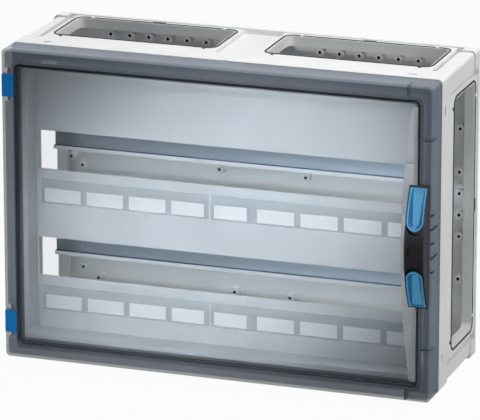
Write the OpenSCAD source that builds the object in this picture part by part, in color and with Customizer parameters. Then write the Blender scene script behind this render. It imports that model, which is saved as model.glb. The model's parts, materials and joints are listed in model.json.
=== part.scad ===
// Modular distribution enclosure: open-sided base, smoke-clear lid with a hinged door, two device rows.
// X runs to the right, Y to the wall behind, Z up; the origin is the centre of the wall fixing holes.
// Depths named *_f are counted backwards from the front face of the lid.

/* [Enclosure] */
// Overall width
box_w = 600; // [590:5:640]
// Overall height
box_h = 430; // [424:2:460]
// Depth from the wall to the front face of the lid
box_d = 214; // [208:2:240]
// Corner radius of the outline
outline_r = 6; // [4:0.5:8]

/* [Base] */
// Thickness of the side walls
wall = 3.5; // [2.5:0.25:5]
// Thickness of the back
back_t = 4; // [3:0.5:8]
// Depth of the front rim
rim_depth = 39; // [30:1:48]
// Height of both rims above the walls
rim_proud = 7; // [6:0.5:8]
// Thickness of the front rim's skirt and lip
rim_t = 3; // [2:0.25:3.5]
// Depth of the rear rim
rear_rim = 6; // [5:0.5:6.5]
// Depth of the feet at the rear corners
foot_d = 20; // [12:1:40]
// Corner radius of the walls
body_r = 5; // [4.5:0.5:8]
// Setback of the wall corners from the outline
corner_back = 2.5; // [2:0.1:2.8]
// Width of a wall corner on the top and bottom, from the outline
corner_x = 19; // [16:0.5:21]
// Height of a wall corner on the sides, from the outline
corner_z = 25; // [20:0.5:27]
// Clear width of the lip that carries the lid seal, from the outline
lip_w = 21; // [20:0.5:24]

/* [Wall openings] */
// Length of each opening in the top and bottom
open_len = 226; // [120:2:240]
// Length of the opening in each side
open_side_len = 344; // [200:2:348]
// Depth of the openings
open_depth = 94; // [60:1:96]
// Setback of the openings from the middle between the rims
open_shift = 6.5; // [0:0.5:8]
// Corner radius of the openings
open_r = 9; // [4:0.5:15]
// Thickness of the collar round an opening
collar_t = 14; // [12:0.5:18]
// Width of the collar at the ends of an opening
collar_end = 8.5; // [6:0.5:10]
// Setback of the collar from the outline
collar_back = 1.5; // [1:0.25:3]
// Width of the gasket
gasket_w = 2.6; // [1.5:0.1:3.5]
// Depth of the gasket groove
gasket_groove = 2.2; // [1:0.1:4]
// Height of the gasket above the collar
gasket_proud = 0.8; // [0.3:0.1:0.9]
// Lip between an opening and its gasket
gasket_lip = 1.8; // [1:0.1:3]

/* [Gasket lugs and rim slots] */
// Length of the lugs at the front of a gasket
lug_len = 4; // [3:0.5:8]
// Reach of those lugs before the gasket
lug_reach = 5; // [3:0.5:8]
// Distance of those lugs from the ends of an opening
lug_inset = 11; // [9:0.5:30]
// Length of the lug at the middle of the rear of a gasket
lug_rear_len = 18; // [8:1:30]
// Reach of that lug behind the gasket
lug_rear_reach = 3; // [2:0.5:3.5]
// Width of the keepers over the rear of a gasket
keeper_w = 4; // [3:0.5:6]
// Distance of the keepers from the ends of an opening
keeper_inset = 18; // [16:0.5:40]
// Length of the slots in the front rim
rim_slot = 12; // [6:0.5:20]
// Width of those slots
rim_slot_w = 3; // [2:0.25:4]
// Distance of those slots from the corners
rim_slot_inset = 45; // [40:1:70]

/* [Screw bosses] */
// Radius of a boss
boss_r = 5.6; // [4:0.1:6]
// Height of a boss
boss_h = 12; // [6:0.5:16]
// Radius of a boss's hole
boss_hole_r = 2.2; // [1:0.1:3]
// Bosses in a row behind an opening
boss_row_count = 6; // [2:1:7]
// Pitch of the boss rows
boss_pitch = 27.6; // [20:0.1:32]
// Pitch of the boss columns
boss_side_pitch = 30; // [16:0.5:40]
// Distance of the boss rows from the outline
boss_inset = 21.5; // [21:0.5:30]

/* [Wall fixing] */
// Distance of the fixing holes from the sides
fix_inset_x = 37.5; // [34:0.5:60]
// Distance of the fixing holes from the top and bottom
fix_inset_z = 45; // [36:0.5:60]
// Radius of a fixing hole
fix_r = 3.5; // [2.5:0.25:4.5]

/* [Lid] */
// Depth of the lid
lid_depth = 40; // [36:1:50]
// Thickness of the lid's skirt
lid_t = 3.5; // [2.5:0.25:4]
// Thickness of the lid's front
front_t = 4; // [3:0.25:5]
// Width of the front strip at the sides
strip_x = 17; // [16:0.5:20]
// Width of the front strip at top and bottom
strip_z = 19; // [17:0.5:24]
// Bevel of the lid's front edge
lid_bevel = 2.5; // [1:0.25:3]
// Thickness of the wall round the door
rebate_t = 3; // [2:0.25:3.5]
// Corner radius of the door opening
window_r = 9; // [7:0.5:12]
// Depth of the ledge's face that the door closes on
ledge_f = 8; // [7.6:0.1:10]
// Thickness of the ledge
ledge_t = 5; // [4:0.5:6]
// Width of the ledge
ledge_w = 7; // [6.8:0.1:8]
// Height of the lid seal
lid_seal_h = 3.6; // [2:0.1:5]
// Width of the lid seal
lid_seal_w = 4.4; // [3.4:0.1:5]
// Grooves in the right side of the lid beside the handle
edge_notches = 5; // [1:1:7]
// Pitch of those grooves
edge_notch_pitch = 19.4; // [10:0.2:24]

/* [Corner caps] */
// Length of a corner cap across
cap_x = 35; // [30:1:60]
// Length of a corner cap upright
cap_z = 73; // [50:1:80]
// Depth of a corner cap
cap_depth = 20; // [14:1:24]
// Thickness of a corner cap
cap_t = 2.6; // [1.5:0.1:3]
// Seam between a corner cap and the lid
cap_seam = 0.8; // [0.3:0.1:1.2]
// Distance of a lid screw from the outline
lid_screw_inset = 8.5; // [8:0.1:9]
// Radius of a lid screw
lid_screw_r = 2; // [1.5:0.1:2.4]
// Length of a lid screw's shank
lid_screw_len = 44; // [35:1:55]

/* [Door] */
// Thickness of the door
door_t = 4; // [3:0.25:4]
// Gap round the door
door_gap = 3; // [2:0.1:3.5]
// Width of the door seal
door_seal_w = 4; // [3.8:0.1:5]
// Height of the stiffening bow on the door's free edge
bow_rise = 6; // [2:0.5:8]
// Width of the stiffening bow at its middle
bow_mid = 20; // [16:0.5:28]
// Width of the stiffening bow at its ends
bow_end = 9; // [4:0.5:12]

/* [Hinges] */
// Distance of each hinge from the middle
hinge_z = 165; // [120:1:166]
// Height of a hinge cap
hinge_h = 30.5; // [24:0.5:40]
// Thickness of a hinge cap
hinge_cap_t = 2.6; // [2:0.1:2.8]
// Distance of the hinge axis from the side of the lid and from its front
hinge_axis = 8; // [7.5:0.1:8.2]
// Depth of a hinge cap's side behind the hinge axis
hinge_cap_reach = 2.5; // [1:0.1:2.6]
// Radius of a hinge pin
hinge_pin_r = 2; // [1.5:0.1:2.5]
// Height of the bearing block above and below a hinge
hinge_block = 8; // [6:0.5:10]
// Depth of the hinge recess in the lid
hinge_recess = 21; // [20.5:0.5:24]

/* [Handle] */
// Height of the handle
handle_len = 166; // [160:1:180]
// Width of the handle
handle_w = 26.5; // [25.5:0.5:28]
// Distance of the handle from the lid's side
handle_inset = 2.6; // [2:0.1:3]
// Rise of the handle at its middle
handle_rise = 29; // [24:0.5:36]
// Rise of the handle at its ends
handle_end_rise = 5; // [4.5:0.25:8]
// Thickness of the handle's arch
handle_t = 12; // [11:0.5:14]
// Thickness of the handle's sides
handle_side = 2.6; // [2:0.1:3.5]
// Radius of the lock position in the handle
lock_r = 9.5; // [6:0.25:11]
// Depth of the lock position
lock_depth = 8; // [4:0.5:9]
// Grip grooves between a latch and the lock position
grip_count = 6; // [3:1:6]
// Pitch of the grip grooves
grip_pitch = 3.2; // [2.4:0.1:3.4]
// Width of a grip groove
grip_w = 1.2; // [0.6:0.1:1.5]
// Depth of a grip groove
grip_depth = 0.7; // [0.3:0.1:1]

/* [Latches] */
// Distance of a latch's inner end from the handle's middle
latch_in = 27.5; // [24:0.5:32]
// Border of the handle beside and beyond a latch
latch_border = 2; // [1:0.1:2.5]
// Thickness of a latch
latch_t = 6.5; // [6:0.25:7]
// Travel of a latch towards the middle of the handle
latch_travel = 5; // [2:0.5:6]
// Depth of a latch's thumb hollow at its inner end
thumb_depth = 4; // [1:0.25:4]
// Depth of the thumb hollow at its outer end
thumb_start = 1; // [0:0.25:1.5]
// Slope of the thumb hollow's sides at its inner end
thumb_slope = 5; // [2:0.5:6]
// Slope of the thumb hollow's sides at its outer end
thumb_side = 2; // [0:0.5:4]
// Length of a latch's bolt behind the lid's front face
bolt_reach = 10; // [5:0.5:14]

/* [Device rows] */
// Pitch of the device rows
row_pitch = 150; // [140:1:150]
// Distance of the middle between the rows below the centre
row_drop = 7.5; // [0:0.5:8]
// Height of a device slot
slot_h = 54; // [45:1:60]
// Border of the cover beside a device slot
slot_side = 2.5; // [2:0.5:20]
// Depth of the cover's face behind the lid's front
cover_f = 47; // [40:1:60]
// Thickness of the cover
cover_t = 2.5; // [2:0.25:3]
// Depth of the rails' face behind the lid's front
rail_f = 112; // [80:1:130]
// Distance of the rail ends from the outline
rail_end = 30; // [24:1:60]
// Height of a rail
rail_h = 35; // [32:0.5:38]
// Depth of a rail
rail_depth = 7.5; // [6:0.25:10]
// Thickness of a rail
rail_t = 1; // [0.8:0.1:1.5]
// Width of a rail's flange
rail_flange = 5; // [4:0.25:6]
// Distance of the rail supports from the sides
support_inset = 68; // [60:1:100]

/* [Label holders] */
// Height of a label
label_h = 20.5; // [15:0.5:22]
// Width of a label
label_len = 52; // [40:1:54]
// Pitch of the labels
label_pitch = 60.5; // [58:0.5:61]
// Distance of the labels' upper edge below the middle of their row
label_drop = 52.5; // [48:0.5:54]
// Left end of the first label, from the outline
label_start = 42.5; // [42:0.5:46]
// Labels in the left holder
label_split = 4; // [2:1:5]
// Height of a holder above its labels
holder_head = 11; // [8:0.5:12]
// Depth of a holder
holder_depth = 3; // [2.4:0.1:4]
// Thickness of a holder's walls
holder_t = 1; // [0.8:0.1:1.2]
// Thickness of a label
label_t = 0.5; // [0.3:0.1:0.6]
// Length of the tabs above the labels
tab_len = 9; // [3:0.5:10]
// Height of those tabs
tab_h = 3; // [2:0.5:4]
// Distance of those tabs to the left of the middle of their labels
tab_shift = 7; // [0:0.5:8]
// Gap between the two holders of a row
holder_gap = 4; // [2:0.5:6]

/* [Hidden] */
$fn = 48;
// Sides of the wide arcs of the handle and the door
wide_fn = 720;
// Clearance of a piece that moves
run = 0.4;
// Clearance of a pin in its bore
pin_fit = 0.06;
// Clearance of a screw in its hole
screw_fit = 0.15;
// Clearance of a gasket in its groove
groove_fit = 0.1;
// Overlap that joins the features of one moulding
join = 0.6;

hx = box_w / 2;
hz = box_h / 2;
rim_f = lid_depth + rim_depth;
body_w = box_w - 2 * rim_proud;
body_h = box_h - 2 * rim_proud;
open_x = hx / 2;
open_f = (rim_f + box_d - rear_rim) / 2 + open_shift;
window_w = box_w - 2 * strip_x;
window_h = box_h - 2 * strip_z;
door_w = window_w - 2 * door_gap;
door_h = window_h - 2 * door_gap;
door_r = window_r - door_gap;
tray_margin = 6.5;
tray_in = ledge_w + tray_margin;
tray_w = window_w - 2 * tray_in;
tray_h = window_h - 2 * tray_in;
rows = [row_pitch / 2 - row_drop, -row_pitch / 2 - row_drop];
recess_h = hinge_h + 2 * run;
handle_x1 = hx - handle_inset;
handle_x0 = handle_x1 - handle_w;
handle_half = handle_len / 2;
handle_sag = handle_rise - handle_end_rise;
handle_R = (handle_half * handle_half + handle_sag * handle_sag) / (2 * handle_sag);
handle_back = 0.6;
lock_x = (handle_x0 + handle_x1) / 2;
latch_w = handle_w - 2 * latch_border;
latch_out = handle_half - latch_border - run;
latch_slope = atan((arch_f(latch_out) - arch_f(latch_in)) / (latch_out - latch_in));
bolt_x = hx - 9;
bolt_w = 4;
bolt_h = 9;
bolt_z = handle_half - 24;
handle_boss_r = 3.2;
handle_screw_z = latch_in - latch_travel - handle_boss_r - 1.3;
handle_screw_x = handle_x0 + handle_side + 2;
handle_screw_r = 1.4;
handle_screw_head_r = 2.8;
handle_screw_head = 1.4;
handle_screw_len = 13;
latch_room = 2;
latch_proud = 0.5;
latch_rim = 1.8;
thin = 0.1;
pocket_floor = 1.6;
lock_setback = 2.5;
lock_dish = 0.8;
lock_edge = 2;
flange_t = 2.5;
flange_f = ledge_f + ledge_t;
slot_r = 1.5;
cover_screw_r = 1.4;
cover_screw_head = 2;
rail_x = hx - rail_end;
support_x = hx - support_inset;
support_w = 26;
support_d = box_d - back_t - rail_f - rail_depth;
support_foot_w = 54;
support_foot_t = 4;
support_foot_x = 20;
support_wall = 3;
support_front = 6;
support_screw_r = 1.9;
support_screw_len = 10;
rail_screw_r = 2.4;
rail_screw_len = 6;
screw_head = 2.4;
head_ratio = 1.8;
lid_head = 3;
lid_head_slot = 1;
notch_w = 2.4;
notch_f = 12;
notch_long_f = 26;
notch_depth = 2;
notch_rise = 2;
hinge_floor = 3;
hinge_neck_t = 2.4;
seal_gap = 0.3;
bow_end_gap = 6;
flange_fit = 0.5;
rim_slot_f = lid_depth + 15;
seam_notch = 6;
seam_notch_depth = 2.5;
keeper_t = 1;
keeper_hold = 0.8;
gasket_mid = open_depth / 2 + gasket_lip + gasket_w / 2;
grip_z0 = lock_r + 1.5;
holder_fit = 0.1;
label_min = 20;
label_top = -label_drop;
holder_h = label_h + holder_head + 2 * holder_t;
holder_z1 = label_top + holder_head + holder_t;
holder_x0 = -hx + label_start - 4 * holder_t;
holder_mid = -hx + label_start + (label_split - 1 / 2) * label_pitch + (label_len - holder_gap) / 2;
holder_x1 = tray_w / 2 - 3 * holder_t;
label_cut = 6;
label_count = floor((holder_x1 - 2 * holder_t - label_min + hx - label_start) / label_pitch) + 1;
side_steps = [-3.5, -1.5, -0.5, 0.5, 1.5, 3.5];
plate_bosses = [[62, 16.5], [hx - 38, 4], [hx - 60, 58 - hz], [40, 58 - hz], [hx - 38, 72 - hz]];

grey = "#dcdcd4";
smoke = "#6f7c8a";
blue = "#2f93cf";
dark = "#26212b";
black = "#1b1c20";
steel = "#b9bec4";
panel_grey = "#c9ced2";
clear = "#d5dde2";
white = "#f4f5f7";

// Depth f behind the lid's front face as a Y coordinate
function at(f) = f - box_d;

// Depth of the handle's outer arch at height z, in front of the lid
function arch_f(z) = handle_R - handle_rise - sqrt(handle_R * handle_R - z * z);

// Left end and length of label i of a row
function label_x0(i) = -hx + label_start + i * label_pitch;
function label_w(i) = min(label_len - (i == label_split - 1 || i == label_split ? label_cut : 0),
                          holder_x1 - 2 * holder_t - label_x0(i));

// Extrusions of an outline along Y between two depths, and along X between two places
module along_y(f0, f1) {
    translate([0, at(f1), 0]) rotate([90, 0, 0]) linear_extrude(f1 - f0) children();
}

module along_x(x0, x1) {
    translate([x0, 0, 0]) rotate([90, 0, 90]) linear_extrude(x1 - x0) children();
}

// A round bar along Y between two depths
module bar_y(x, z, r, f0, f1) {
    translate([x, at(f1), z]) rotate([90, 0, 0]) cylinder(h = f1 - f0, r = r);
}

// Rectangle with round corners
module round_rect(w, h, r) {
    square([w - 2 * r, h], center = true);
    square([w, h - 2 * r], center = true);
    for (x = [-1, 1], y = [-1, 1]) translate([x * (w / 2 - r), y * (h / 2 - r)]) circle(r);
}

// Band of width t inside a rectangle with round corners
module round_band(w, h, r, t) {
    difference() {
        round_rect(w, h, r);
        round_rect(w - 2 * t, h - 2 * t, max(r - t, 1));
    }
}

// Frame of one wall: x along the wall, y to the back, z outwards with zero on the outline
module on_wall(side, shift) {
    if (side == "top") translate([shift, at(open_f), hz]) children();
    if (side == "bottom") mirror([0, 0, 1]) translate([shift, at(open_f), hz]) children();
    if (side == "right") translate([hx, at(open_f), shift]) rotate([0, 90, 0]) children();
    if (side == "left") mirror([1, 0, 0]) translate([hx, at(open_f), shift]) rotate([0, 90, 0]) children();
}

// Both openings of the top and both of the bottom, and the opening of each side
module on_top_and_bottom() {
    for (side = ["top", "bottom"], s = [-1, 1]) on_wall(side, s * open_x) children();
}

module on_sides() {
    for (side = ["left", "right"]) on_wall(side, 0) children();
}

// Collar, hole and gasket groove of a wall opening of a given length
module collar(len) {
    y0 = rim_f - open_f - join;
    y1 = box_d - rear_rim - open_f + join;
    translate([-len / 2 - collar_end, y0, -collar_back - collar_t])
        cube([len + 2 * collar_end, y1 - y0, collar_t]);
}

module wall_hole(len) {
    translate([0, 0, -collar_back - collar_t - 1])
        linear_extrude(collar_t + 2) round_rect(len, open_depth, open_r);
}

// Outline of a gasket, with its lugs at the front and at the middle of the rear
module gasket_ring(len, fit) {
    reach = 2 * (gasket_lip + gasket_w - fit);
    front = gasket_w / 2 + lug_reach - fit;
    rear = gasket_w / 2 + lug_rear_reach - fit;
    round_band(len + reach, open_depth + reach, open_r + reach / 2, gasket_w - 2 * fit);
    for (s = [-1, 1]) translate([s * (len / 2 - lug_inset) - lug_len / 2 + fit, -gasket_mid - front])
        square([lug_len - 2 * fit, front]);
    translate([-lug_rear_len / 2 + fit, gasket_mid]) square([lug_rear_len - 2 * fit, rear]);
}

module gasket_slot(len) {
    translate([0, 0, -collar_back - gasket_groove]) linear_extrude(gasket_groove + 1) gasket_ring(len, 0);
}

module opening_cut(len) {
    wall_hole(len);
    gasket_slot(len);
}

// Keepers that bridge the rear of a gasket
module keepers(len, fit) {
    for (s = [-1, 1]) translate([s * (len / 2 - keeper_inset), gasket_mid, -collar_back - keeper_t - fit])
        translate([-keeper_w / 2 - fit, -gasket_w / 2 - keeper_hold, 0])
            cube([keeper_w + 2 * fit, gasket_w + 2 * keeper_hold, keeper_t + gasket_proud + 2 * fit]);
}

// Slots in the front rim near its corners, and a notch at the middle of its front edge
module rim_slots() {
    through = 2 * rim_t + 2;
    for (x = [-1, 1], z = [-1, 1]) {
        translate([x * (hx - rim_slot_inset), at(rim_slot_f), z * hz])
            cube([rim_slot, rim_slot_w, through], center = true);
        translate([x * hx, at(rim_slot_f), z * (hz - rim_slot_inset)])
            cube([through, rim_slot_w, rim_slot], center = true);
    }
    for (z = [-1, 1]) translate([0, at(lid_depth), z * hz])
        cube([seam_notch, seam_notch, 2 * seam_notch_depth], center = true);
}

module gasket(side, shift, len) {
    color(black) on_wall(side, shift) difference() {
        translate([0, 0, -collar_back - gasket_groove])
            linear_extrude(gasket_groove + gasket_proud) gasket_ring(len, groove_fit);
        keepers(len, groove_fit);
    }
}

// Tubular screw boss on the back, open to the front
module boss(x, z, r, h, hole_r) {
    f1 = box_d - back_t;
    difference() {
        bar_y(x, z, r, f1 - h, f1 + join);
        bar_y(x, z, hole_r, f1 - h - 1, f1 - 1);
    }
}

module wall_bosses() {
    for (s = [-1, 1], g = [-1, 1], i = [0 : boss_row_count - 1])
        boss(g * open_x + (i - (boss_row_count - 1) / 2) * boss_pitch, s * (hz - boss_inset),
             boss_r, boss_h, boss_hole_r);
    for (s = [-1, 1], k = side_steps)
        boss(s * (hx - boss_inset), k * boss_side_pitch, boss_r, boss_h, boss_hole_r);
    for (s = [-1, 1], p = plate_bosses) boss(s * p[0], p[1], boss_r, boss_h, boss_hole_r);
}

module support_bosses() {
    for (s = [-1, 1], z = rows, k = [-1, 1])
        boss(s * support_x + k * support_foot_x, z, boss_r, boss_h - support_foot_t,
             support_screw_r + screw_fit);
}

// Corner fields of the outline at a setback, narrower by an inset
module wall_corners(back, r, inset) {
    intersection() {
        round_rect(box_w - 2 * back, box_h - 2 * back, r);
        for (x = [-1, 1], z = [-1, 1]) translate([x * hx, z * hz])
            square([2 * (corner_x - inset), 2 * (corner_z - inset)], center = true);
    }
}

// Outline of the walls, which are recessed between their raised corners
module wall_outline() {
    round_rect(body_w, body_h, body_r);
    wall_corners(corner_back, body_r, 0);
}

// Walls, back, lip, both rims and the feet at the rear corners, before the openings are cut
module base_shell() {
    lip_end = lid_depth + rim_t;
    difference() {
        union() {
            along_y(lid_depth, rim_f) round_rect(box_w, box_h, outline_r);
            along_y(lid_depth, box_d) wall_outline();
            along_y(box_d - foot_d, box_d) wall_corners(0, outline_r, 0);
            along_y(box_d - rear_rim, box_d) round_rect(box_w, box_h, outline_r);
        }
        along_y(lip_end, box_d - back_t) {
            round_rect(body_w - 2 * wall, body_h - 2 * wall, body_r - wall);
            wall_corners(corner_back + wall, body_r - wall, wall);
        }
        along_y(lid_depth - 1, lip_end + 1) round_rect(box_w - 2 * lip_w, box_h - 2 * lip_w, window_r);
        along_y(lip_end, rim_f + 1) difference() {
            round_rect(box_w - 2 * rim_t, box_h - 2 * rim_t, outline_r - rim_t / 2);
            wall_outline();
        }
    }
}

module lid_screw_places() {
    for (s = [-1, 1]) translate([hx - lid_screw_inset, 0, s * (hz - lid_screw_inset)]) children();
}

module base() {
    color(grey) difference() {
        union() {
            base_shell();
            on_top_and_bottom() collar(open_len);
            on_sides() collar(open_side_len);
            wall_bosses();
            support_bosses();
            lid_screw_places() bar_y(0, 0, lid_screw_r + 3, lid_depth, rim_f);
        }
        on_top_and_bottom() opening_cut(open_len);
        on_sides() opening_cut(open_side_len);
        rim_slots();
        lid_screw_places() bar_y(0, 0, lid_screw_r + screw_fit, lid_depth - 1, rim_f - 4);
        for (x = [-1, 1], z = [-1, 1])
            bar_y(x * (hx - fix_inset_x), z * (hz - fix_inset_z), fix_r, box_d - back_t - 1, box_d + 1);
    }
    color(grey) {
        on_top_and_bottom() keepers(open_len, 0);
        on_sides() keepers(open_side_len, 0);
    }
}

module gasket_top_left() { gasket("top", -open_x, open_len); }
module gasket_top_right() { gasket("top", open_x, open_len); }
module gasket_bottom_left() { gasket("bottom", -open_x, open_len); }
module gasket_bottom_right() { gasket("bottom", open_x, open_len); }
module gasket_left() { gasket("left", 0, open_side_len); }
module gasket_right() { gasket("right", 0, open_side_len); }

// Outer form of the lid, with its bevelled front edge
module lid_form() {
    hull() {
        along_y(lid_bevel, lid_depth) round_rect(box_w, box_h, outline_r, $fn = 32);
        along_y(0, lid_bevel)
            round_rect(box_w - 2 * lid_bevel, box_h - 2 * lid_bevel, outline_r - lid_bevel / 2, $fn = 32);
    }
}

// L-shaped corner field at the upper right, reduced by an inset at its ends and by another beside the door
module cap_field(inset, door_inset) {
    wall_w = 2 * (rebate_t + door_inset);
    difference() {
        union() {
            translate([hx - cap_x + inset, hz - strip_z + inset])
                square([cap_x + 1 - inset, strip_z + 1 - inset]);
            translate([hx - strip_x + inset, hz - cap_z + inset])
                square([strip_x + 1 - inset, cap_z + 1 - inset]);
        }
        round_rect(window_w + wall_w, window_h + wall_w, window_r + wall_w / 2);
    }
}

// Hinge recess in the lid's left strip, open to the front, to the side and to the door
module hinge_recess_cut(z) {
    translate([-hx - 1, at(-1), z - recess_h / 2]) cube([strip_x + 1 + join, ledge_f + 1, recess_h]);
    translate([-hx - 1, at(-1), z - recess_h / 2])
        cube([strip_x - rebate_t + 1, hinge_recess + 1, recess_h]);
}

module hinge_block_solid(z) {
    x0 = -hx + lid_t - join;
    x1 = -hx + strip_x - rebate_t + join;
    translate([x0, at(front_t - join), z - recess_h / 2 - hinge_block])
        cube([x1 - x0, hinge_recess + hinge_floor - front_t + join, recess_h + 2 * hinge_block]);
}

module hinge_bore(z, r) {
    h = recess_h + 2 * hinge_block - hinge_floor;
    translate([-hx + hinge_axis, at(hinge_axis), z - h / 2]) cylinder(h = h, r = r);
}

module lid_frame() {
    back_f = lid_depth - lid_seal_h;
    color(smoke) difference() {
        union() {
            difference() {
                lid_form();
                along_y(front_t, lid_depth + 1)
                    round_rect(box_w - 2 * lid_t, box_h - 2 * lid_t, outline_r - lid_t / 2);
                along_y(-1, front_t + 1) round_rect(window_w, window_h, window_r);
            }
            along_y(front_t - join, back_f)
                round_band(window_w + 2 * rebate_t, window_h + 2 * rebate_t, window_r + rebate_t, rebate_t);
            along_y(ledge_f, ledge_f + ledge_t)
                round_band(window_w + join, window_h + join, window_r, ledge_w + join / 2);
            for (s = [-1, 1]) hinge_block_solid(s * hinge_z);
        }
        for (s = [-1, 1]) {
            hinge_recess_cut(s * hinge_z);
            hinge_bore(s * hinge_z, hinge_pin_r + pin_fit);
            mirror([0, 0, s < 0 ? 1 : 0]) along_y(-1, cap_depth) cap_field(0, 0);
            translate([bolt_x - bolt_w / 2 - 2 * run, at(-1), s * bolt_z - bolt_h / 2 - latch_travel - run])
                cube([bolt_w + 4 * run, front_t + 2, bolt_h + 2 * latch_travel + 2 * run]);
        }
        for (i = [0 : edge_notches - 1]) {
            notch_z = (i - (edge_notches - 1) / 2) * edge_notch_pitch + notch_rise;
            translate([hx - notch_depth, at(-1), notch_z])
                cube([notch_depth + 1, (i % 2 == 0 ? notch_f : notch_long_f) + 1, notch_w]);
        }
        for (p = cover_screw_places())
            bar_y(p[0], p[1], cover_screw_r + screw_fit, ledge_f + 1, flange_f + 1);
    }
    color(smoke) for (s = [-1, 1]) cap_shelf(s);
}

// Floor of a corner field, which the lid screw draws down
module cap_shelf(s) {
    difference() {
        mirror([0, 0, s < 0 ? 1 : 0]) along_y(cap_depth, cap_depth + rebate_t) intersection() {
            cap_field(-join, -join);
            round_rect(box_w - 2 * lid_t + join, box_h - 2 * lid_t + join, outline_r - lid_t / 2);
        }
        lid_screw_places() bar_y(0, 0, lid_screw_r + screw_fit, cap_depth - 1, cap_depth + rebate_t + 1);
    }
}

module corner_cap(s) {
    color(smoke) mirror([0, 0, s < 0 ? 1 : 0]) difference() {
        intersection() {
            lid_form();
            along_y(-1, cap_depth) cap_field(cap_seam, cap_seam);
        }
        along_y(cap_t, cap_depth + 1) intersection() {
            cap_field(cap_seam + cap_t, 0);
            round_rect(box_w - 2 * cap_t, box_h - 2 * cap_t, outline_r - cap_t / 2);
        }
    }
}

module corner_cap_top() { corner_cap(1); }
module corner_cap_bottom() { corner_cap(-1); }

module lid_screws() {
    head_f = cap_depth - lid_head;
    color(steel) lid_screw_places() difference() {
        union() {
            bar_y(0, 0, lid_screw_r, head_f, cap_depth + lid_screw_len);
            bar_y(0, 0, head_ratio * lid_screw_r, head_f, cap_depth);
        }
        translate([-lid_head_slot / 2, at(head_f - 1), -2 * lid_screw_r])
            cube([lid_head_slot, lid_head / 2 + 1, 4 * lid_screw_r]);
    }
}

module lid_seal() {
    over = 2 * (rebate_t + (lid_seal_w - rebate_t) / 3);
    color(black) along_y(lid_depth - lid_seal_h, lid_depth)
        round_band(window_w + over, window_h + over, window_r + rebate_t, lid_seal_w);
}

// Seal on the ledge below the gap round the door, cut back at the hinge ears
module door_seal() {
    color(black) difference() {
        along_y(door_t + seal_gap, ledge_f)
            round_band(window_w - 2 * seal_gap, window_h - 2 * seal_gap, window_r - seal_gap, door_seal_w);
        for (s = [-1, 1]) translate([-window_w / 2, at(0), s * hinge_z - recess_h / 2])
            cube([door_gap + seal_gap, ledge_f + 1, recess_h]);
    }
}

// Bow-shaped stiffening of the door's free edge, highest at its middle
module door_bow() {
    half = door_h / 2 - bow_end_gap;
    in_R = (half * half + pow(bow_mid - bow_end, 2)) / (2 * (bow_mid - bow_end));
    out_R = (half * half + bow_rise * bow_rise) / (2 * bow_rise);
    difference() {
        intersection() {
            along_y(-bow_rise, join) intersection() {
                round_rect(door_w, door_h, door_r);
                translate([door_w / 2 - bow_mid + in_R, 0]) circle(in_R, $fn = wide_fn);
            }
            along_x(0, hx) translate([at(out_R - bow_rise), 0]) circle(out_R, $fn = wide_fn);
        }
        translate([handle_x0 - run, at(-handle_rise), -handle_half - run])
            cube([handle_w, handle_rise, handle_len + 2 * run]);
    }
}

// Hinge ear of the door, with its neck behind the gap
module hinge_ear(z) {
    x0 = -hx + hinge_cap_t + run;
    f0 = hinge_cap_t + run;
    ear_h = hinge_h - 2 * hinge_cap_t;
    ear_w = strip_x - rebate_t - hinge_cap_t;
    ear_d = ledge_f - run - f0;
    bridge_x = x0 + strip_x / 2;
    bridge_w = -door_w / 2 - seal_gap - bridge_x;
    difference() {
        union() {
            translate([x0, at(f0), z - ear_h / 2]) cube([ear_w, ear_d, ear_h]);
            translate([-hx + hinge_axis, at(hinge_axis), z - ear_h / 2])
                cylinder(h = ear_h, r = hinge_axis - hinge_cap_t - run);
            translate([bridge_x, at(f0), z - ear_h / 2]) cube([bridge_w, ear_d, ear_h]);
            translate([-hx + strip_x, at(door_t - hinge_neck_t), z - ear_h / 2])
                cube([door_gap + join, hinge_neck_t, ear_h]);
        }
        hinge_bore(z, hinge_pin_r + pin_fit);
    }
}

module door() {
    color(smoke) difference() {
        union() {
            along_y(0, door_t) round_rect(door_w, door_h, door_r);
            door_bow();
            for (s = [-1, 1]) hinge_ear(s * hinge_z);
        }
        for (s = [-1, 1]) handle_screw(s, screw_fit);
    }
}

// Blue cap over a hinge ear, on the front and the side of the lid
module hinge_cap(z) {
    x0 = -hx + run;
    color(blue) difference() {
        translate([x0, at(0), z - hinge_h / 2])
            cube([strip_x - 2 * run, hinge_axis + hinge_cap_reach, hinge_h]);
        translate([x0 + hinge_cap_t, at(hinge_cap_t + run), z - hinge_h / 2 + hinge_cap_t])
            cube([strip_x, 2 * hinge_axis, hinge_h - 2 * hinge_cap_t]);
        translate([x0 + hinge_cap_t, at(ledge_f - 1), z - hinge_h])
            cube([strip_x, 2 * hinge_axis, 2 * hinge_h]);
        hinge_bore(z, hinge_pin_r + run);
    }
}

module hinge_cap_upper() { hinge_cap(hinge_z); }
module hinge_cap_lower() { hinge_cap(-hinge_z); }
module hinge_pin_upper() { color(steel) hinge_bore(hinge_z, hinge_pin_r); }
module hinge_pin_lower() { color(steel) hinge_bore(-hinge_z, hinge_pin_r); }

// Everything between two arches parallel to the handle's outer face
module handle_arch(depth_out, depth_in) {
    along_x(handle_x0 - 1, handle_x1 + 1) translate([at(handle_R - handle_rise), 0]) difference() {
        circle(handle_R - depth_out, $fn = wide_fn);
        if (depth_in < handle_R) circle(handle_R - depth_in, $fn = wide_fn);
    }
}

// Outline of a latch, square outside and round towards the handle's middle
module latch_outline(grow, stretch) {
    r = latch_w / 2 + grow;
    z0 = latch_in - grow - stretch + r;
    translate([lock_x - r, z0]) square([2 * r, latch_out + grow - z0]);
    translate([lock_x, z0]) circle(r);
}

module upper_or_lower(s) { mirror([0, 0, s < 0 ? 1 : 0]) children(); }

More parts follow.
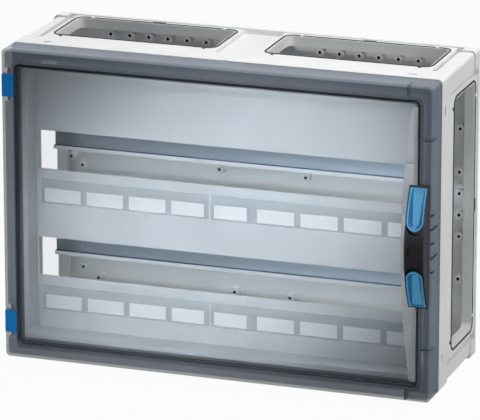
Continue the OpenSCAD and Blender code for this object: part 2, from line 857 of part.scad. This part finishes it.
// Countersunk screw that holds the handle from behind the door
module handle_screw(s, fit) {
    translate([handle_screw_x, at(door_t), s * handle_screw_z]) rotate([90, 0, 0]) {
        cylinder(h = handle_screw_len, r = handle_screw_r + fit);
        translate([0, 0, -fit]) cylinder(h = handle_screw_head + 2 * fit, r = handle_screw_head_r + fit);
    }
}

module handle_screws() { color(steel) for (s = [-1, 1]) handle_screw(s, 0); }

// Solid bow of the handle, on the door at its left and just clear of the lid at its right
module handle_form() {
    intersection() {
        union() {
            translate([handle_x0, at(-handle_rise), -handle_half])
                cube([handle_w, handle_rise - handle_back, handle_len]);
            translate([handle_x0, at(-handle_rise), -handle_half])
                cube([door_w / 2 - handle_x0, handle_rise, handle_len]);
        }
        handle_arch(0, handle_R);
    }
}

// Fine grooves in the outer face between a latch and the lock position
module grip_grooves() {
    intersection() {
        handle_arch(-1, grip_depth);
        for (i = [0 : grip_count - 1])
            translate([lock_x + (i - (grip_count - 1) / 2) * grip_pitch - grip_w / 2,
                       at(-handle_rise - 1), grip_z0])
                cube([grip_w, handle_rise, latch_in - grip_z0]);
    }
}

module handle() {
    floor_f = -handle_back - pocket_floor;
    color(dark) difference() {
        union() {
            difference() {
                handle_form();
                intersection() {
                    translate([handle_x0 + handle_side, at(-handle_rise), -handle_half])
                        cube([handle_w - 2 * handle_side, handle_rise + 1, handle_len]);
                    handle_arch(handle_t, handle_R);
                }
            }
            for (s = [-1, 1])
                bar_y(handle_screw_x, s * handle_screw_z, handle_boss_r, handle_t - handle_rise - join, 0);
        }
        for (s = [-1, 1]) upper_or_lower(s) {
            intersection() {
                along_y(-handle_rise - 1, floor_f) latch_outline(run, latch_travel);
                handle_arch(-1, latch_t + latch_room);
            }
            translate([bolt_x - bolt_w / 2 - run, at(-handle_rise),
                       bolt_z - bolt_h / 2 - latch_travel - run])
                cube([bolt_w + 2 * run, handle_rise + 1, bolt_h + latch_travel + 2 * run]);
            handle_screw(1, screw_fit);
            grip_grooves();
        }
        bar_y(lock_x, 0, lock_r + screw_fit, -handle_rise - 1, -handle_rise + lock_depth);
    }
}

// Plug that closes the lock position, with a shallow dished face
module lock_plug() {
    color(black) difference() {
        bar_y(lock_x, 0, lock_r, -handle_rise + lock_setback, -handle_rise + lock_depth);
        bar_y(lock_x, 0, lock_r - lock_edge, -handle_rise, -handle_rise + lock_setback + lock_dish);
    }
}

// Sliding latch: thumb pad in the arch of the handle, and a bolt that reaches into the lid
module latch(s) {
    back_f = -handle_back - pocket_floor - run;
    bolt_f = arch_f(bolt_z) + latch_t - latch_room;
    color(blue) upper_or_lower(s) {
        difference() {
            intersection() {
                along_y(-handle_rise - 1, back_f) latch_outline(0, 0);
                handle_arch(-latch_proud, latch_t);
            }
            thumb_hollow();
        }
        translate([bolt_x - bolt_w / 2, at(bolt_f), bolt_z - bolt_h / 2])
            cube([bolt_w, bolt_reach - bolt_f, bolt_h]);
    }
}

// Thumb hollow in the plane of its floor, which tilts inwards towards the handle's middle;
// its sides slope more and more in that direction
module thumb_hollow() {
    len = (latch_out - latch_in) / cos(latch_slope);
    tilt = atan((thumb_depth - thumb_start) / len);
    w = latch_w - 2 * latch_rim;
    end_r = w / 2 - thumb_slope;
    translate([lock_x, at(arch_f(latch_out) + thumb_start), latch_out])
        rotate([90 + tilt - latch_slope, 0, 0]) hull() {
            linear_extrude(thin) {
                translate([thumb_side - w / 2, -latch_rim]) square([w - 2 * thumb_side, thin]);
                translate([0, end_r + thumb_slope + latch_rim - len]) circle(end_r);
            }
            translate([0, 0, thumb_depth]) linear_extrude(latch_t) {
                translate([-w / 2, -latch_rim]) square([w, thin]);
                translate([0, w / 2 + latch_rim - len]) circle(w / 2);
            }
        }
}

module latch_upper() { latch(1); }
module latch_lower() { latch(-1); }

// Places of the screws that hold the cover to the ledge
function cover_screw_places() = [
    for (x = [-1, 1], z = [-1, 1]) [x * (window_w / 2 - ledge_w / 2), z * window_h / 4]
];

// Tray-shaped cover: flange behind the ledge, side walls and the slotted face
module cover() {
    color(panel_grey) difference() {
        union() {
            along_y(flange_f, flange_f + flange_t)
                round_band(window_w - 2 * flange_fit, window_h - 2 * flange_fit, window_r - flange_fit,
                           tray_in - flange_fit);
            along_y(flange_f, cover_f + cover_t)
                round_rect(tray_w + 2 * cover_t, tray_h + 2 * cover_t, window_r);
        }
        along_y(flange_f - 1, cover_f) round_rect(tray_w, tray_h, window_r - cover_t);
        for (z = rows) along_y(cover_f - 1, cover_f + cover_t + 1) translate([0, z])
            round_rect(tray_w - 2 * slot_side, slot_h, slot_r);
        for (p = cover_screw_places())
            bar_y(p[0], p[1], cover_screw_r + screw_fit, flange_f - 1, flange_f + flange_t + 1);
    }
}

module cover_screws() {
    f1 = flange_f + flange_t;
    color(steel) for (p = cover_screw_places()) {
        bar_y(p[0], p[1], cover_screw_r, ledge_f + cover_screw_head, f1 + cover_screw_head);
        bar_y(p[0], p[1], 2 * cover_screw_r, f1, f1 + cover_screw_head);
    }
}

// Top-hat rail, its flanges to the front
module rail(z) {
    web_h = rail_h - 2 * rail_flange + 2 * rail_t;
    color(steel) difference() {
        along_x(-rail_x, rail_x) translate([at(rail_f), z]) {
            translate([rail_depth - rail_t, -web_h / 2]) square([rail_t, web_h]);
            for (s = [-1, 1]) {
                translate([0, s * (web_h - rail_t) / 2 - rail_t / 2]) square([rail_depth, rail_t]);
                translate([0, s * (rail_h - rail_flange) / 2 - rail_flange / 2])
                    square([rail_t, rail_flange]);
            }
        }
        for (s = [-1, 1])
            bar_y(s * support_x, z, rail_screw_r + screw_fit, rail_f + 1, rail_f + rail_depth + 1);
    }
}

module rail_upper() { rail(rows[0]); }
module rail_lower() { rail(rows[1]); }

// Hollow post between the bosses of the back and a rail
module rail_support(s, z) {
    f0 = rail_f + rail_depth;
    f1 = box_d - back_t - boss_h + support_foot_t;
    post_h = rail_h - 2 * rail_flange;
    color(panel_grey) translate([s * support_x, 0, z]) difference() {
        union() {
            along_y(f0, f1) square([support_w, post_h], center = true);
            along_y(f1 - support_foot_t, f1) round_rect(support_foot_w, post_h, support_wall);
        }
        along_y(f0 + support_front, f1 + 1)
            square([support_w - 2 * support_wall, post_h - 2 * support_wall], center = true);
        bar_y(0, 0, rail_screw_r + screw_fit, f0 - 1, f0 + support_front + 1);
        for (k = [-1, 1])
            bar_y(k * support_foot_x, 0, support_screw_r + screw_fit, f1 - support_foot_t - 1, f1 + 1);
    }
}

module rail_support_upper_left() { rail_support(-1, rows[0]); }
module rail_support_upper_right() { rail_support(1, rows[0]); }
module rail_support_lower_left() { rail_support(-1, rows[1]); }
module rail_support_lower_right() { rail_support(1, rows[1]); }

module support_screws() {
    f0 = box_d - back_t - boss_h;
    color(steel) for (s = [-1, 1], z = rows, k = [-1, 1]) {
        x = s * support_x + k * support_foot_x;
        bar_y(x, z, support_screw_r, f0 - screw_head, f0 + support_screw_len);
        bar_y(x, z, head_ratio * support_screw_r, f0 - screw_head, f0);
    }
}

module rail_screws() {
    f0 = rail_f + rail_depth - rail_t;
    color(steel) for (s = [-1, 1], z = rows) {
        bar_y(s * support_x, z, rail_screw_r, f0 - screw_head, f0 + rail_screw_len);
        bar_y(s * support_x, z, head_ratio * rail_screw_r, f0 - screw_head, f0);
    }
}

// Clear holder in front of the cover, with a lip over the labels' edges and a tab above each label;
// a divider stands beside the label next to the middle
module label_holder(x0, x1, z, first, last) {
    f0 = cover_f - holder_fit - holder_depth;
    z0 = z + holder_z1 - holder_h;
    color(clear) {
        difference() {
            translate([x0, at(f0), z0]) cube([x1 - x0, holder_depth, holder_h]);
            translate([x0 + holder_t, at(f0 + holder_t), z0 + holder_t])
                cube([x1 - x0 - 2 * holder_t, holder_depth - 2 * holder_t, label_h + 2 * label_t]);
            translate([x0 + holder_t, at(f0 - 1), z0 + 2 * holder_t])
                cube([x1 - x0 - 2 * holder_t, holder_t + 2, label_h - 2 * holder_t + label_t]);
            translate([x0 - 1, at(f0 - 1), z0 + label_h + 4 * holder_t])
                cube([x1 - x0 + 2, holder_depth - holder_t + 1, holder_h]);
        }
        for (i = [first : last])
            translate([label_x0(i) + (label_w(i) - tab_len) / 2 - tab_shift, at(f0 + holder_t),
                       z + label_top + holder_head / 2])
                cube([tab_len, holder_t + thin, tab_h]);
        if (first == label_split)
            translate([label_x0(first) + label_w(first) + holder_t, at(f0), z0])
                cube([holder_t, holder_depth, holder_h]);
    }
}

module label_holder_left(z) { label_holder(holder_x0, holder_mid - holder_gap / 2, z, 0, label_split - 1); }
module label_holder_right(z) {
    label_holder(holder_mid + holder_gap / 2, holder_x1, z, label_split, label_count - 1);
}

module label_holder_upper_left() { label_holder_left(rows[0]); }
module label_holder_upper_right() { label_holder_right(rows[0]); }
module label_holder_lower_left() { label_holder_left(rows[1]); }
module label_holder_lower_right() { label_holder_right(rows[1]); }

// White insert cards; those beside the middle clip and at the end are cut shorter
module labels(first, last, z) {
    f1 = cover_f - holder_fit - holder_t;
    for (i = [first : last])
        color(white) translate([label_x0(i), at(f1 - label_t), z + label_top - label_h])
            cube([label_w(i), label_t, label_h]);
}

module labels_upper_left() { labels(0, label_split - 1, rows[0]); }
module labels_upper_right() { labels(label_split, label_count - 1, rows[0]); }
module labels_lower_left() { labels(0, label_split - 1, rows[1]); }
module labels_lower_right() { labels(label_split, label_count - 1, rows[1]); }

base();
gasket_top_left();
gasket_top_right();
gasket_bottom_left();
gasket_bottom_right();
gasket_left();
gasket_right();
lid_frame();
lid_seal();
door_seal();
corner_cap_top();
corner_cap_bottom();
lid_screws();
door();
hinge_cap_upper();
hinge_cap_lower();
hinge_pin_upper();
hinge_pin_lower();
handle();
handle_screws();
lock_plug();
latch_upper();
latch_lower();
cover();
cover_screws();
rail_upper();
rail_lower();
rail_support_upper_left();
rail_support_upper_right();
rail_support_lower_left();
rail_support_lower_right();
support_screws();
rail_screws();
label_holder_upper_left();
label_holder_upper_right();
label_holder_lower_left();
label_holder_lower_right();
labels_upper_left();
labels_upper_right();
labels_lower_left();
labels_lower_right();
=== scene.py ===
import json
import math

import bpy
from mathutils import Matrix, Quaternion, Vector


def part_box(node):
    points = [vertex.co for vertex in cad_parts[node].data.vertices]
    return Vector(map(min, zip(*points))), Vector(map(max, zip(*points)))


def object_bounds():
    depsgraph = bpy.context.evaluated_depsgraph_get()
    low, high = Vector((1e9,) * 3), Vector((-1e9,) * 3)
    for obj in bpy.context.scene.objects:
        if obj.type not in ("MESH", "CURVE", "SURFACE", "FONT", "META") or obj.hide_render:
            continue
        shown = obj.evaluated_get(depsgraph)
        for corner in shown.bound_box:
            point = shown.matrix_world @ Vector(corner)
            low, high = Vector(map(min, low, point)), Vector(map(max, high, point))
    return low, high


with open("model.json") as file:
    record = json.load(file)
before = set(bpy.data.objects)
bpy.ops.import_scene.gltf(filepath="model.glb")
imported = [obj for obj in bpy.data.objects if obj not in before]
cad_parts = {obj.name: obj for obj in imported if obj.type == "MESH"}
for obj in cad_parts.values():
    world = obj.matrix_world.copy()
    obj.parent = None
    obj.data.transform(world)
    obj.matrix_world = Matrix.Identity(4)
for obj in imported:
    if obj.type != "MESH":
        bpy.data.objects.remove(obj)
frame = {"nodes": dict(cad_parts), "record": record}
cad_box = [list(v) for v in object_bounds()]
nodes = frame["nodes"]
scene = bpy.context.scene
scene.view_settings.view_transform = "Standard"

# Depth of the grain of all surfaces, in metres
GRAIN_DEPTH = 0.0001


def srgb(r, g, b):
    """Linear colour of an sRGB one given from 0 to 255."""
    def lin(c):
        c /= 255.0
        return c / 12.92 if c <= 0.04045 else ((c + 0.055) / 1.055) ** 2.4
    return (lin(r), lin(g), lin(b), 1.0)


def tone(c, k):
    return (c[0] * k, c[1] * k, c[2] * k, 1.0)


class Mat:
    """A node material with one Principled shader, and helpers for its textures."""

    def __init__(self, name, **sockets):
        self.mat = bpy.data.materials.new(name)
        self.mat.use_nodes = True
        self.tree = self.mat.node_tree
        self.bsdf = self.tree.nodes["Principled BSDF"]
        self.out = self.tree.nodes["Material Output"]
        for key, value in sockets.items():
            self.bsdf.inputs[key.replace("_", " ")].default_value = value
        self.coord = self.tree.nodes.new("ShaderNodeTexCoord")

    def node(self, kind, **props):
        n = self.tree.nodes.new(kind)
        for key, value in props.items():
            setattr(n, key, value)
        return n

    def link(self, a, b):
        self.tree.links.new(a, b)

    def noise(self, scale, stretch=(1, 1, 1), detail=3.0):
        m = self.node("ShaderNodeMapping")
        m.inputs["Scale"].default_value = stretch
        self.link(self.coord.outputs["Object"], m.inputs["Vector"])
        n = self.node("ShaderNodeTexNoise")
        n.inputs["Scale"].default_value = scale
        n.inputs["Detail"].default_value = detail
        self.link(m.outputs["Vector"], n.inputs["Vector"])
        return n.outputs["Fac"]

    def colour(self, fac, low, high):
        """Base colour between two (place, colour) stops."""
        r = self.node("ShaderNodeValToRGB")
        for stop, (place, colour) in zip(r.color_ramp.elements, (low, high)):
            stop.position = place
            stop.color = colour
        self.link(fac, r.inputs["Fac"])
        self.link(r.outputs["Color"], self.bsdf.inputs["Base Color"])

    def ranged(self, fac, low, high):
        m = self.node("ShaderNodeMapRange")
        m.inputs["To Min"].default_value = low
        m.inputs["To Max"].default_value = high
        self.link(fac, m.inputs["Value"])
        return m.outputs["Result"]

    def rough(self, fac, low, high):
        self.link(self.ranged(fac, low, high), self.bsdf.inputs["Roughness"])

    def bump(self, fac, strength):
        b = self.node("ShaderNodeBump")
        b.inputs["Strength"].default_value = strength
        b.inputs["Distance"].default_value = GRAIN_DEPTH
        self.link(fac, b.inputs["Height"])
        self.link(b.outputs["Normal"], self.bsdf.inputs["Normal"])

    def mixed(self, fac, other):
        """Surface that goes from the Principled shader to another one with fac."""
        mix = self.node("ShaderNodeMixShader")
        self.link(fac, mix.inputs["Fac"])
        self.link(self.bsdf.outputs["BSDF"], mix.inputs[1])
        self.link(other, mix.inputs[2])
        self.link(mix.outputs["Shader"], self.out.inputs["Surface"])


def moulded(name, colour, rough, grain=900.0, bump=0.15, spread=0.04, **sockets):
    """Moulded plastic: fine grain, faint clouding, uneven gloss."""
    uneven = 0.06
    m = Mat(name, **sockets)
    cloud = m.noise(scale=14.0, detail=4.0)
    m.colour(cloud, (0.3, tone(colour, 1 - spread)), (0.7, tone(colour, 1 + spread)))
    m.rough(m.noise(scale=60.0, detail=2.0), rough - uneven, rough + uneven)
    m.bump(m.noise(scale=grain, detail=2.0), bump)
    return m.mat


def clear(name, colour, rough, ior, absorb, density, lamp_tint):
    """Clear plastic: refracts, and its tint deepens with thickness; lamps shine through it."""
    m = Mat(name, Transmission_Weight=1.0, IOR=ior)
    m.colour(m.noise(scale=9.0, detail=2.0), (0.35, tone(colour, 0.985)), (0.65, colour))
    m.rough(m.noise(scale=35.0), rough, rough + 0.02)
    volume = m.node("ShaderNodeVolumeAbsorption")
    volume.inputs["Color"].default_value = absorb
    volume.inputs["Density"].default_value = density
    m.link(volume.outputs["Volume"], m.out.inputs["Volume"])
    tint = m.node("ShaderNodeBsdfTransparent")
    tint.inputs["Color"].default_value = lamp_tint
    path = m.node("ShaderNodeLightPath")
    m.mixed(path.outputs["Is Shadow Ray"], tint.outputs["BSDF"])
    return m.mat


def plated(name, colour, rough, stretch, **sockets):
    """Zinc-plated steel, with drawing lines where its noise is stretched."""
    uneven = 0.1
    m = Mat(name, Metallic=1.0, **sockets)
    m.colour(m.noise(30.0, stretch, detail=5.0), (0.3, tone(colour, 0.8)), (0.7, tone(colour, 1.1)))
    m.rough(m.noise(90.0, stretch), rough - uneven, rough + uneven)
    m.bump(m.noise(160.0, stretch), 0.12)
    # Drawn along X, so that gloss spreads across the drawing lines
    around = m.node("ShaderNodeTangent", direction_type="RADIAL", axis="X")
    m.link(around.outputs["Tangent"], m.bsdf.inputs["Tangent"])
    return m.mat


EVEN = (1, 1, 1)
DRAWN = (0.02, 1, 1)
mats = {
    "body_grey": moulded("body_grey", srgb(235, 236, 234), 0.45),
    "smoke_clear": moulded("smoke_clear", srgb(146, 156, 171), 0.24, grain=1400.0, bump=0.05, Alpha=0.5),
    "blue_plastic": moulded("blue_plastic", srgb(3, 156, 247), 0.36, spread=0.06, Specular_IOR_Level=0.3),
    "dark_plastic": moulded("dark_plastic", srgb(34, 33, 43), 0.3, spread=0.1),
    "black_rubber": moulded("black_rubber", srgb(36, 37, 42), 0.7, spread=0.15, bump=0.3),
    "steel": plated("steel", srgb(198, 202, 206), 0.35, EVEN),
    "rail_steel": plated("rail_steel", srgb(188, 200, 210), 0.45, DRAWN, Anisotropic=0.9),
    "panel_grey": moulded("panel_grey", srgb(216, 217, 217), 0.5, bump=0.05),
    "clear_plastic": moulded("clear_plastic", srgb(228, 231, 232), 0.18, bump=0.05, Alpha=0.35),
    "label_card": moulded("label_card", srgb(243, 243, 241), 0.6, grain=400.0, bump=0.05, spread=0.015),
}
door_smoke = clear("door_smoke", srgb(246, 248, 250), rough=0.012, ior=1.46,
                   absorb=(0.31, 0.44, 0.56, 1.0), density=9.0, lamp_tint=(0.68, 0.735, 0.79, 1.0))
door_frost = moulded("door_frost", srgb(232, 237, 240), 0.3, bump=0.05, Alpha=0.52)
lock_black = moulded("lock_black", srgb(9, 9, 13), 0.5, spread=0.1)
# Dark plastic used as painted shade on seam walls, in grooves and in the bosses' holes
shade = moulded("shade", srgb(26, 28, 34), 0.6, spread=0.1)
latch_blue = moulded("latch_blue", srgb(98, 198, 248), 0.36, spread=0.05)
# Deeper blue of the latches: painted shade for the sloping sides of their thumb hollows
latch_painted_shade = moulded("latch_painted_shade", srgb(40, 132, 194), 0.4, spread=0.05)
# Bright and dark rail steel: painted highlight on the rails' lower flanges, painted shade on their upward
# faces
flange = plated("flange", srgb(236, 238, 239), 0.6, DRAWN)
bend_painted_shade = plated("bend_painted_shade", srgb(92, 106, 124), 0.25, DRAWN)

slot_of = {s["node"]: s["material_slot"] for s in frame["record"]["subparts"]}
for name, obj in nodes.items():
    obj.data.materials.clear()
    obj.data.materials.append(mats[slot_of[name]])
nodes["lock_plug"].data.materials[0] = lock_black


def dress(name, chosen, mat):
    """Gives another material to the faces that chosen(centre, normal) picks."""
    obj = nodes[name]
    obj.data.materials.append(mat)
    index = len(obj.data.materials) - 1
    turn = obj.matrix_world.to_3x3()
    for face in obj.data.polygons:
        if chosen(obj.matrix_world @ face.center, turn @ face.normal):
            face.material_index = index


# Painted shade on the walls of the corner caps' seams, and of the grooves at the lid's edge beside the
# handle
SEAM_NEAR = 0.001
GROOVE_NEAR, GROOVE_FAR = 0.0003, 0.0023
GROOVES_REACH = 0.055
STRAIGHT = 0.9
(_, front_y, _), (right_x, _, _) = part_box("lid_frame")
seams = []
for name, end, side in (("corner_cap_top", 0, 1), ("corner_cap_bottom", 1, -1)):
    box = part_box(name)
    seams.append((box[0][0], box[end][2], side))


def seam(c, n):
    for x, z, side in seams:
        if abs(n.x) > STRAIGHT and abs(c.x - x) < SEAM_NEAR and side * (c.z - z) > -SEAM_NEAR:
            return True
        if abs(n.z) > STRAIGHT and abs(c.z - z) < SEAM_NEAR and c.x > x - SEAM_NEAR:
            return True
    return False


def groove(c, n):
    return (GROOVE_NEAR < right_x - c.x < GROOVE_FAR and abs(c.z) < GROOVES_REACH
            and (abs(n.z) > STRAIGHT or n.x > STRAIGHT))


for name in ("corner_cap_top", "corner_cap_bottom"):
    dress(name, seam, shade)
dress("lid_frame", lambda c, n: seam(c, n) or groove(c, n), shade)

# Latches, with painted shade, a deeper blue, on the sloping sides of their thumb hollows, found by how far
# they face forward
STEEP, FLAT = -0.25, -0.82
for name in ("latch_upper", "latch_lower"):
    nodes[name].data.materials[0] = latch_blue
    dress(name, lambda c, n: FLAT < n.y < STEEP, latch_painted_shade)

# Painted shade in the holes of the bosses on the back: beside the top and bottom openings, along the sides,
# and in the field
BORE_R = 0.00225
BACKWARD = 0.5
GROUP_X, GROUP_Z, GROUP_PITCH, GROUP_COUNT = 0.15, 0.1935, 0.0276, 6
SIDE_X, SIDE_PITCH = 0.2785, 0.03
SIDE_STEPS = (-3.5, -1.5, -0.5, 0.5, 1.5, 3.5)
FIELD = [(0.062, 0.0165), (0.262, 0.004), (0.24, -0.157), (0.04, -0.157), (0.262, -0.143)]
holes = []
for side in (-1, 1):
    for i in range(GROUP_COUNT):
        x = side * GROUP_X + (i - (GROUP_COUNT - 1) / 2) * GROUP_PITCH
        holes += [(x, -GROUP_Z), (x, GROUP_Z)]
    holes += [(side * SIDE_X, step * SIDE_PITCH) for step in SIDE_STEPS]
    holes += [(side * x, z) for x, z in FIELD]


def in_hole(c, n):
    return n.y < BACKWARD and any(math.hypot(c.x - x, c.z - z) < BORE_R for x, z in holes)


dress("base", in_hole, shade)

# Painted highlight on the rails' lower flanges, and painted shade on the flanges' upward faces; the web
# above keeps the plain rail steel
FLANGE_SHARE = 0.2
UPWARD = 0.5
for name in ("rail_upper", "rail_lower"):
    low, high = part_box(name)
    flange_z = low[2] + FLANGE_SHARE * (high[2] - low[2])
    dress(name, lambda c, n: c.z < flange_z and n.z <= UPWARD, flange)
    dress(name, lambda c, n: c.z < flange_z and n.z > UPWARD, bend_painted_shade)

# The door is clearer than its frame, and the bow on its free edge is frosted
BOW_CLEAR = 0.0001
nodes["door"].data.materials[0] = door_smoke
dress("door", lambda c, n: c.y < front_y - BOW_CLEAR, door_frost)


def math_node(tree, operation, first, second):
    """Output of a Math node; the second value is a socket or a number."""
    n = tree.nodes.new("ShaderNodeMath")
    n.operation = operation
    tree.links.new(first, n.inputs[0])
    if isinstance(second, float):
        n.inputs[1].default_value = second
    else:
        tree.links.new(second, n.inputs[1])
    return n.outputs[0]


def seen(tree, path):
    """1 where the background is looked at, 0 where it would only light matt surfaces."""
    looked = path.outputs["Is Camera Ray"]
    for ray in ("Is Glossy Ray", "Is Transmission Ray"):
        looked = math_node(tree, "MAXIMUM", looked, path.outputs[ray])
    fresh = math_node(tree, "LESS_THAN", path.outputs["Diffuse Depth"], 0.5)
    return math_node(tree, "MULTIPLY", looked, fresh)


def studio_world():
    """White where it is looked at, weak and cool where it lights the part."""
    world = bpy.data.worlds.new("studio")
    world.use_nodes = True
    tree = world.node_tree
    tree.nodes.clear()
    path = tree.nodes.new("ShaderNodeLightPath")
    mix = tree.nodes.new("ShaderNodeMixShader")
    tree.links.new(seen(tree, path), mix.inputs["Fac"])
    for slot, colour, strength in ((1, (0.86, 0.93, 1.0, 1.0), 0.16), (2, (1.0, 1.0, 1.0, 1.0), 1.0)):
        sky = tree.nodes.new("ShaderNodeBackground")
        sky.inputs["Color"].default_value = colour
        sky.inputs["Strength"].default_value = strength
        tree.links.new(sky.outputs["Background"], mix.inputs[slot])
    out = tree.nodes.new("ShaderNodeOutputWorld")
    tree.links.new(mix.outputs["Shader"], out.inputs["Surface"])
    return world


def floor_paper():
    """Pale paper: near white where it is looked at, weaker where it is only mirrored, and keeps shadows."""
    whitening = 0.95
    m = Mat("floor_paper", Roughness=0.9)
    m.colour(m.noise(scale=4.0), (0.3, srgb(204, 204, 203)), (0.7, srgb(210, 210, 209)))
    path = m.node("ShaderNodeLightPath")
    glow = m.node("ShaderNodeEmission")
    m.link(m.ranged(path.outputs["Glossy Depth"], 1.0, 0.2), glow.inputs["Strength"])
    m.mixed(math_node(m.tree, "MULTIPLY", seen(m.tree, path), whitening), glow.outputs["Emission"])
    return m.mat


FLOOR_GAP = 0.0005
scene.world = studio_world()
bpy.ops.mesh.primitive_plane_add(size=40.0, location=(0, 0, cad_box[0][2] - FLOOR_GAP))
floor = bpy.context.object
floor.name = "floor"
floor.data.materials.append(floor_paper())


def aim(obj, place, target, roll=0.0):
    """Puts an object at a place and turns it to a target."""
    obj.location = place
    obj.rotation_mode = "QUATERNION"
    look = (Vector(target) - Vector(place)).to_track_quat("-Z", "Y")
    obj.rotation_quaternion = look @ Quaternion((0, 0, 1), roll)


def lamp(name, kind, place, target, power, roll=0.0):
    data = bpy.data.lights.new(name, kind)
    data.energy = power
    obj = bpy.data.objects.new(name, data)
    scene.collection.objects.link(obj)
    aim(obj, place, target, roll)
    obj.visible_camera = False
    return obj


def panel(name, place, target, size, power):
    """Soft rectangular lamp."""
    obj = lamp(name, "AREA", place, target, power)
    obj.data.shape = "RECTANGLE"
    obj.data.size, obj.data.size_y = size


panel("overhead", place=(0.1, 0.05, 2.3), target=(0.0, -0.1, 0.0), size=(2.0, 1.2), power=40.5)
panel("side", place=(1.9, -0.2, 0.6), target=(0.2, -0.1, 0.0), size=(0.6, 0.6), power=12.0)
# Narrow soft lamp on the middle of the front, with an oval pool that leans to the right
front = lamp("front", "SPOT", place=(-0.16, -3.65, 0.96), target=(0.0, -0.167, 0.006), power=208.0,
             roll=math.radians(-57))
front.data.shadow_soft_size = 0.08
front.data.spot_size = math.radians(12.4)
front.data.spot_blend = 1.0
front.scale = (0.7, 1.0, 1.0)

# Camera at the photograph's viewpoint
azimuth, elevation = math.radians(19.17), math.radians(16.80)
back = Vector((math.sin(azimuth) * math.cos(elevation), -math.cos(azimuth) * math.cos(elevation),
               math.sin(elevation)))
cam_data = bpy.data.cameras.new("camera")
cam_data.lens = 335.55
cam_data.sensor_width = 36.0
cam_data.clip_start, cam_data.clip_end = 0.1, 100.0
cam = bpy.data.objects.new("camera", cam_data)
scene.collection.objects.link(cam)
viewpoint = Vector((1.888, -5.540, 1.727))
aim(cam, viewpoint, viewpoint - back)
scene.camera = cam
